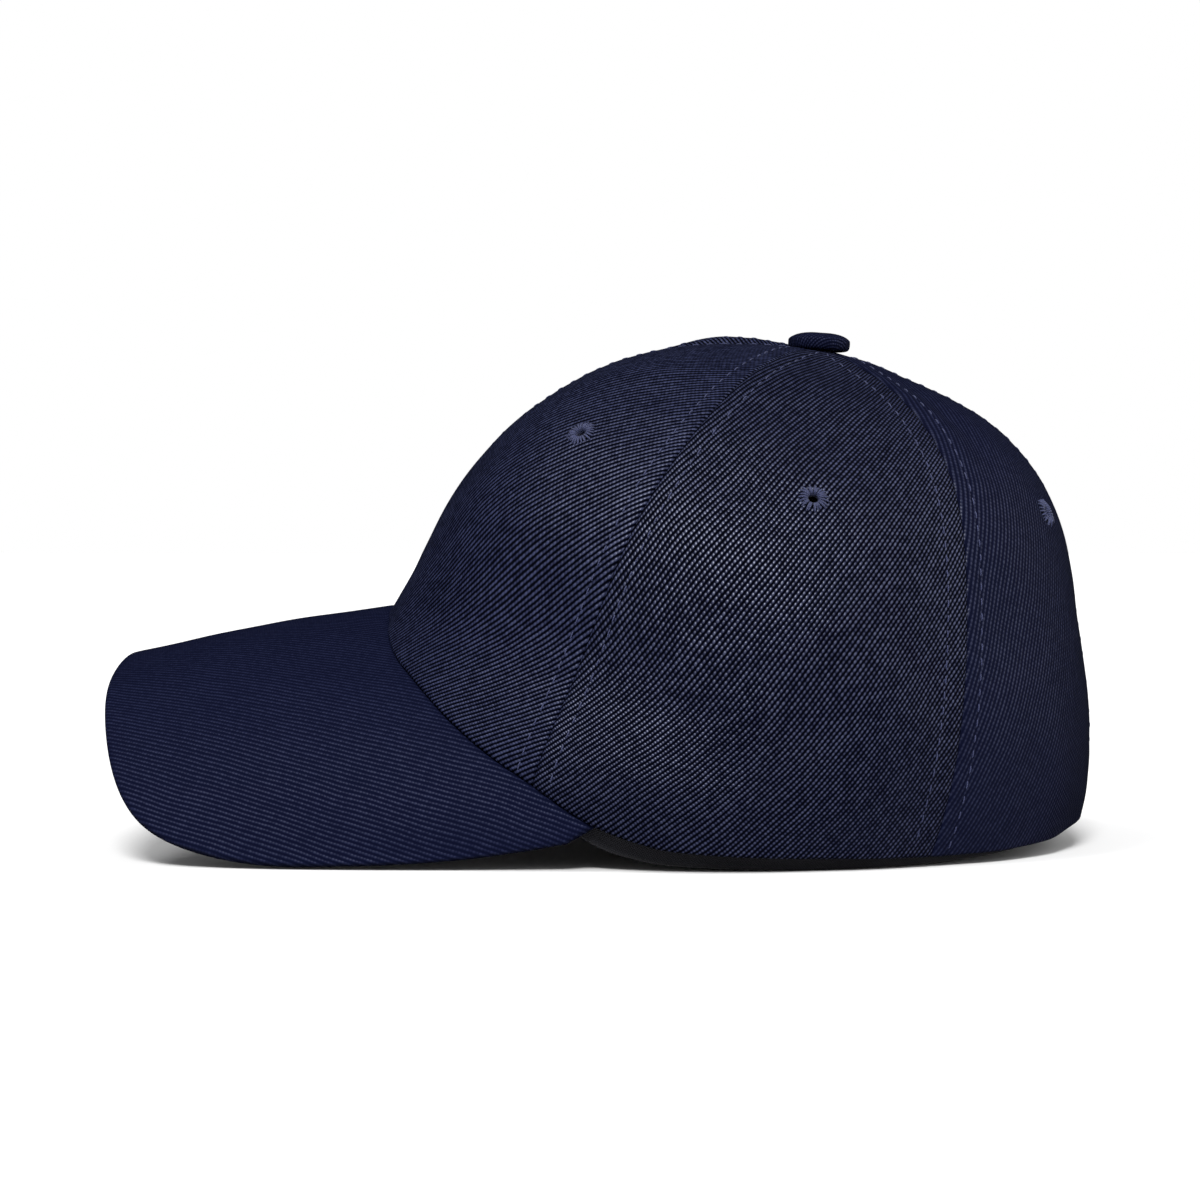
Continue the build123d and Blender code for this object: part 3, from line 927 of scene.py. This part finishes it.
def make_tape(name, seam):
    """The tape over one seam's raw edges, with its two rows of stitches."""

    def half(down):
        width = TAPE_WIDTH / 2 * np.minimum(1.0, 0.75 + (down - TAPE_TOP) / 60)
        return degrees_round(width, seam, down)

    def span(around):
        low = edge_down(np.full_like(around, seam))
        return np.full_like(around, TAPE_TOP), low - degrees_down(TAPE_LIFT, seam, low)

    depth = BUCKRAM_DEPTH + 0.05 + (0.9 if "front" in name else 0.0)
    piece, points = crown_layer(
        f"tape_{name}", lambda d: seam - half(d), lambda d: seam + half(d), span, depth,
        TAPE_THICK, TAPE_MATERIAL, seam, [f"seam_tape_{name}"],
    )
    length = np.linalg.norm(np.diff(points[len(points) // 2], axis=0), axis=1).sum()
    paths = []
    for side in (-1, 1):
        down = np.linspace(TAPE_TOP + 2, float(span(np.array([seam]))[1][0]) - 1, 700)
        around = seam + degrees_round(side * STITCH_ROW, seam, down)
        points = crown_point(around, down)
        normal = -crown_normal(around, down)
        line = points + normal * (depth + TAPE_THICK)
        length = run_lengths(line)
        for centre in np.arange(3.0, length[-1] - 3, STITCH_PITCH):
            reach = np.linspace(-1, 1, 7)
            at = centre + reach * STITCH_LENGTH / 2
            point = along_line(at, length, line)
            out = unit(along_line(at, length, normal))
            aside = unit(np.cross(point[-1] - point[0], out[3]))
            point = point + out * (STITCH_RADIUS * (0.75 - 2.0 * np.abs(reach) ** 3))[:, None]
            paths.append((point, STITCH_RADIUS * (1 - 0.25 * reach**2), aside))
    tubes(f"tape_stitch_{name}", paths, THREAD)


def make_buckram(name):
    first, second = GORES[name]
    top = math.degrees(12 / FRONT_RADII[0])

    def span(around):
        low = edge_down(around)
        return np.full_like(around, top), low - degrees_down(1.5, around, low)

    piece, points = crown_layer(
        f"stiffener_{name}",
        lambda d: first + degrees_round(1.5, first, d),
        lambda d: second - degrees_round(1.5, second, d),
        span, BUCKRAM_DEPTH, BUCKRAM, BUCKRAM_MATERIAL, (first + second) / 2,
        [f"buckram_{name}"], columns=50, wave=0.0,
    )
    side = 1 if name.endswith("left") else -1
    cut_hole(piece, "front", side)
    flat, area = flat_size(points)


def band_span(top, lift=None):
    """Angles down of a band's top and foot; with no lift it ends at the fold."""

    def span(around):
        low = edge_down(around)
        if lift is None:
            foot = edge_down(around, FOLD, BAND_DEPTH + BAND_THICK)
        else:
            foot = low - degrees_down(lift, around, low)
        return low - degrees_down(top, around, low), foot

    return span


def make_sweatband():
    """The band against the head, sewn to the crown's edge, and its soft core."""
    us = np.linspace(0, 1, 361)
    vs = spread_toward_ends(0.06, 9, 26)

    def start(down):
        return -180 + degrees_round(0.12, 180, down)

    def end(down):
        return 180 - degrees_round(0.12, 180, down)

    around, down = crown_grid(start, end, band_span(BAND_HEIGHT + 1.5), us, vs)
    points, normal = crown_point(around, down), crown_normal(around, down)
    height = np.radians(down[:, -1:] - down) * base_radius(around, down)
    ease = 0.5 * bell(height / 2.2)
    wave = ragged(points, 22, 0.3, 11) * smooth(height / 12)
    stitch = -0.25 * bell((height - 4.0) / 0.6)
    inward = np.minimum(height, height[:, :1] - height)
    round_off = roll_drop(np.maximum(inward, 0), BAND_THICK / 2)
    outer_depth = BAND_DEPTH - ease + np.maximum(wave, -0.1) + round_off
    inner_depth = BAND_DEPTH - ease + BAND_THICK + wave + stitch - round_off
    inner_depth = np.maximum(inner_depth, outer_depth + 0.02)
    outer = points - normal * outer_depth[..., None]
    inner = points - normal * inner_depth[..., None]
    girth = np.radians(around) * 88
    uv = np.stack((girth, height), axis=-1)
    piece = shell("sweatband_cloth", outer, inner, uv, BAND_MATERIAL, ["sweatband"])
    paths = band_rows(points, normal, height, inner_depth)
    tubes("sweatband_stitch", paths, THREAD)
    core, points = crown_layer(
        "sweatband_padding", start, end, band_span(BAND_HEIGHT - 2.0, 4.0), CORE_DEPTH,
        CORE_THICK, CORE_MATERIAL, 0, ["sweatband_core"], columns=240, rows=12,
        wave=0.0,
    )


def band_rows(points, normal, height, depth):
    """A lockstitch row along the band's foot, and overlock threads on its top."""
    paths = []
    line = []
    for from_foot, from_top in ((4.5, None), (None, 1.4)):
        column, out = [], []
        for p, n, h, d in zip(points, normal, height, depth):
            level = from_foot if from_top is None else h[0] - from_top
            inner = p - n * d[:, None]
            column.append([np.interp(-level, -h, inner[:, k]) for k in range(3)])
            out.append([-np.interp(-level, -h, n[:, k]) for k in range(3)])
        line.append((np.array(column), np.array(out)))
    column, out = line[0]
    length = run_lengths(column)
    for centre in np.arange(3.0, length[-1] - 3, 3.6):
        reach = np.linspace(-1, 1, 5)
        at = centre + reach * 1.2
        point = along_line(at, length, column)
        way = unit(along_line(at, length, out))
        aside = unit(np.cross(point[-1] - point[0], way[2]))
        point = point + way * (0.2 - 0.5 * np.abs(reach) ** 3)[:, None]
        paths.append((point, 0.2 * (1 - 0.2 * reach**2), aside))
    column, out = line[1]
    length = run_lengths(column)
    up = np.array((0.0, 0.0, 1.0))
    for centre in np.arange(1.5, length[-1] - 1.5, 2.4):
        point = along_line(centre, length, column)
        way = unit(along_line(centre, length, out))
        near = along_line(centre + 0.5, length, column)
        run = unit(near - point)
        rise = unit(up - way * np.dot(up, way))
        steps = np.array((
            (-3.0, 0.0, -0.1), (-1.4, 0.2, 0.22), (0.6, 0.4, 0.25), (1.25, 0.5, -0.3), (0.8, 0.6, -1.0),
        ))
        path = point + steps[:, :1] * rise + steps[:, 1:2] * run + steps[:, 2:] * way
        paths.append((path, np.full(5, 0.17), run))
    return paths


# ---------------------------------------------------------------- button


def button_profile():
    """Half section of the covered button: radius and height from top to foot."""
    turn = np.linspace(0, 1, 22)
    radius = BUTTON_RADIUS * np.sin(turn * math.pi / 2) ** 0.92
    dome = np.clip(1 - (radius / BUTTON_RADIUS) ** 2.6, 0, 1) ** 0.62
    rise = BUTTON_BAND + (BUTTON_HEIGHT - BUTTON_BAND) * dome
    foot = np.array((
        (8.32, 1.1), (8.3, 0.5), (8.22, 0.0), (8.05, -0.45), (7.7, -0.8), (7.1, -1.0), (6.4, -1.0),
    ))
    return np.concatenate((np.stack((radius, rise), axis=-1), foot))


def make_button():
    """The cloth of the button, gathered in fine pleats down its side."""
    lean = math.radians(BUTTON_TILT)
    peak = crown_point(0.0, 0.01)
    axis = np.array((-math.sin(lean), 0.0, math.cos(lean)))
    ahead = np.array((math.cos(lean), 0.0, math.sin(lean)))
    aside = np.array((0.0, 1.0, 0.0))
    profile = button_profile()
    count = 192
    turns = np.arange(count) * 2 * math.pi / count
    length = run_lengths(profile)
    pleat = np.cos(26 * turns + 0.7 * np.sin(3 * turns)) * 0.7 + 0.3 * np.cos(41 * turns + 1)
    points, uv = [peak + axis * profile[0, 1]], [(0.0, 0.0)]
    for (radius, rise), run in zip(profile[1:], length[1:]):
        low = smooth((radius / BUTTON_RADIUS - 0.72) / 0.25)
        ring_radius = radius + 0.1 * low * pleat
        across = np.cos(turns)[:, None] * ahead + np.sin(turns)[:, None] * aside
        ring = peak + axis * rise + across * ring_radius[:, None]
        ring = ring + axis * (0.06 * np.sin(2 * turns + 1) * (1 - low))[:, None]
        points.extend(ring)
        uv.extend(np.stack((np.cos(turns) * run, np.sin(turns) * run), axis=-1))
    points, uv = np.array(points), np.array(uv)
    faces = []
    for k in range(count):
        faces.append((0, 1 + k, 1 + (k + 1) % count))
    for i in range(len(profile) - 2):
        for k in range(count):
            after = (k + 1) % count
            here, there = 1 + i * count, 1 + (i + 1) * count
            faces.append((here + k, there + k, there + after, here + after))
    last = 1 + (len(profile) - 2) * count
    points = np.concatenate((points, [peak + axis * 0.4]))
    uv = np.concatenate((uv, [(0, 0)]))
    for k in range(count):
        faces.append((len(points) - 1, last + (k + 1) % count, last + k))
    build("button_cloth", points, faces, uv, BUTTON_MATERIAL, ["button_cover"])


# ---------------------------------------------------------------- visor


def visor_point(around, along):
    """Points on top of the visor; along runs from its root to its outer edge."""
    around, along = np.broadcast_arrays(np.asarray(around, float), np.asarray(along, float))
    angle = np.abs(around)
    root = crown_point(angle, edge_down(angle))
    edge = EDGE_LINE(angle)
    rib = edge - root
    width = np.linalg.norm(rib, axis=-1)
    root = root + rib / width[..., None] * ROOT_GAP
    share = along[..., None]
    point = root * (1 - share) + edge * share
    camber = VISOR_CAMBER * (width / 75) ** 2 * 4 * along * (1 - along)
    sideways = 0.4 * np.minimum(angle / 25, 1)
    point = point + camber[..., None] * np.stack(
        (0 * sideways, sideways, 0.9 + 0 * sideways), axis=-1
    )
    return point * np.stack((1 + 0 * angle, np.where(around >= 0, 1, -1), 1 + 0 * angle), axis=-1)


def visor_normal(around, along):
    low, high = np.maximum(along - 0.01, 0), np.minimum(along + 0.01, 1)
    forward = visor_point(around, high) - visor_point(around, low)
    across = visor_point(around + 0.2, along) - visor_point(around - 0.2, along)
    return unit(np.cross(forward, across))


def visor_flat(points):
    """Place on the flat cloth of the visor, which is rolled about one axis."""
    middle = points[len(points) // 2]
    run = unit(middle[-1] - middle[0])
    across = np.array((-run[2], 0.0, run[0]))
    height = points @ across - middle[-1] @ across + 95
    turn, reach = np.arctan2(points[..., 1], height), np.hypot(points[..., 1], height)
    marks = np.linspace(-1.6, 1.6, 81)
    sizes = [np.median(reach[np.abs(turn - mark) < 0.06]) if (np.abs(turn - mark) < 0.06).any()
             else np.nan for mark in marks]
    sizes = np.array(sizes)
    known = ~np.isnan(sizes)
    sizes = np.interp(marks, marks[known], sizes[known])
    slope = np.gradient(sizes, marks)
    arc = np.concatenate(([0], np.cumsum(np.hypot(sizes, slope)[1:] * np.diff(marks))))
    arc -= arc[len(arc) // 2]
    return np.stack((points @ run, np.interp(turn, marks, arc)), axis=-1)


def make_visor():
    """Top and under cloths, drawn round the board and joined along its edge."""
    arounds = np.sin(np.linspace(-1, 1, 241) * math.pi / 2 * 0.97)
    arounds = arounds / arounds[-1] * VISOR_SWEEP
    root = 0.04 * np.linspace(0, 1, 10)[:-1] ** 1.5
    edge = 1 - 0.05 * (1 - np.cos(np.linspace(math.pi / 2, 0, 16)))
    alongs = np.unique(np.round(np.concatenate((root, np.linspace(0.04, 0.95, 60), edge)), 7))
    around, along = np.meshgrid(arounds, alongs, indexing="ij")
    points, normal = visor_point(around, along), visor_normal(around, along)
    width = np.linalg.norm(points[:, -1] - points[:, 0], axis=-1)[:, None]
    steps = np.linalg.norm(np.diff(points, axis=0), axis=-1)
    run = np.concatenate((np.zeros((1, len(alongs))), np.cumsum(steps, axis=0)))
    inward = np.minimum((1 - along) * width, np.minimum(run, run[-1] - run))
    from_root = along * width
    drop = roll_drop(inward, VISOR_ROLL)
    inner_roll = VISOR_ROLL - VISOR_CLOTH
    level = np.clip(VISOR_ROLL - inward, 0, inner_roll * 0.98)
    inside = VISOR_ROLL - np.sqrt(inner_roll**2 - level**2)
    seam = 0.18 * bell(inward / 0.35)
    soft = ragged(points, 30, 0.16, 21) * smooth(inward / 6) * smooth(from_root / 6)
    dip = 0.75 * bell(from_root / 0.8)
    top = drop + dip - soft
    out = -0.25 * bell(inward / 0.3)
    spread = unit(points[:, -1] - points[:, 0])[:, None]
    upper = points - normal * top[..., None] + spread * out[..., None]
    lining = points - normal * np.maximum(inside, top + 0.02)[..., None] + spread * out[..., None]
    uv = visor_flat(points)
    piece = shell(
        "visor_top_cloth", upper, lining, uv, VISOR_MATERIAL, ["visor_top", "visor_seam"]
    )
    flat, area = flat_size(points)
    depth = VISOR_THICK - drop - 0.6 * dip
    low = points - normal * depth[..., None] + spread * out[..., None]
    top_side = points - normal * np.minimum(VISOR_THICK - inside, depth - 0.02)[..., None]
    top_side = top_side + spread * out[..., None]
    piece = shell("visor_under_cloth", low, top_side, uv, VISOR_MATERIAL, ["visor_under"])


# ---------------------------------------------------------------- build it all

for gore in GORES:
    make_panel(gore)
make_stitches()
for eyelet, _, _ in EYELETS:
    make_eyelet(eyelet, 1)
    make_eyelet(eyelet, -1)
for tape, (seam_angle, _, _) in SEAMS.items():
    make_tape(tape, seam_angle)
make_buckram("front_left")
make_buckram("front_right")
make_sweatband()
make_button()
make_visor()

for node, material in (("button_core", METAL), ("button_washer", METAL), ("visor_board", BOARD)):
    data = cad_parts[node].data
    data.materials.clear()
    data.materials.append(material)


# ---------------------------------------------------------------- floor, light, camera


def make_floor():
    s = Surface("floor_paper")
    place = s.solid_place()
    tone = s.noise(place, 0.004, detail=3)
    colour = s.ramp(tone, ((0.3, (0.83, 0.83, 0.83)), (0.7, (0.86, 0.86, 0.86))))
    material = s.finish(colour, Roughness=0.9, Specular_IOR_Level=0.1)
    mesh = bpy.data.meshes.new("floor")
    size = 12.0
    corners = [(-size, -size, 0), (size, -size, 0), (size, size, 0), (-size, size, 0)]
    mesh.from_pydata(corners, [], [(0, 1, 2, 3)])
    mesh.materials.append(material)
    floor = bpy.data.objects.new("floor", mesh)
    bpy.context.scene.collection.objects.link(floor)
    floor.visible_glossy = False


def make_light(name, round_to, up, softness, power):
    """A broad, far light, by its direction round from the camera side and up."""
    lamp = bpy.data.lights.new(name, "SUN")
    lamp.angle = math.radians(softness)
    lamp.energy = power
    holder = bpy.data.objects.new(name, lamp)
    turn, rise = math.radians(round_to), math.radians(up)
    way = Vector((math.sin(turn) * math.cos(rise), math.cos(turn) * math.cos(rise), math.sin(rise)))
    holder.location = way * 2
    holder.rotation_euler = (-way).to_track_quat("-Z", "Y").to_euler()
    bpy.context.scene.collection.objects.link(holder)


def make_world(seen, lighting):
    """A white backdrop that lights the object less than it looks."""
    world = bpy.data.worlds.new("studio")
    world.use_nodes = True
    tree = world.node_tree
    path = tree.nodes.new("ShaderNodeLightPath")
    level = tree.nodes.new("ShaderNodeMapRange")
    level.inputs["To Min"].default_value = lighting
    level.inputs["To Max"].default_value = seen
    tree.links.new(path.outputs["Is Camera Ray"], level.inputs["Value"])
    background = tree.nodes["Background"]
    background.inputs["Color"].default_value = (1, 1, 1, 1)
    tree.links.new(level.outputs[0], background.inputs["Strength"])
    world.cycles_visibility.glossy = False
    bpy.context.scene.world = world


# Where the camera stands and looks, in the CAD's own millimetres.
CAMERA_PLACE = (-14.62, 803.8, 82.5)
CAMERA_TARGET = (25.68, 0.0, 64.8)


def make_camera():
    data = bpy.data.cameras.new("camera")
    data.lens = 88.45
    data.sensor_width = 36.0
    data.clip_start = 0.02
    camera = bpy.data.objects.new("camera", data)
    camera.location = (OFFSET + CAMERA_PLACE) * MM
    target = Vector((OFFSET + CAMERA_TARGET) * MM)
    camera.rotation_euler = (target - camera.location).to_track_quat("-Z", "Y").to_euler()
    bpy.context.scene.collection.objects.link(camera)
    bpy.context.scene.camera = camera


make_floor()
make_world(seen=1.0, lighting=0.45)
make_light("key", round_to=2, up=48, softness=18, power=3.0)
make_light("fill", round_to=66, up=60, softness=22, power=1.0)
make_light("back", round_to=-85, up=25, softness=60, power=1.1)
make_camera()
bpy.context.scene.view_settings.view_transform = "Standard"
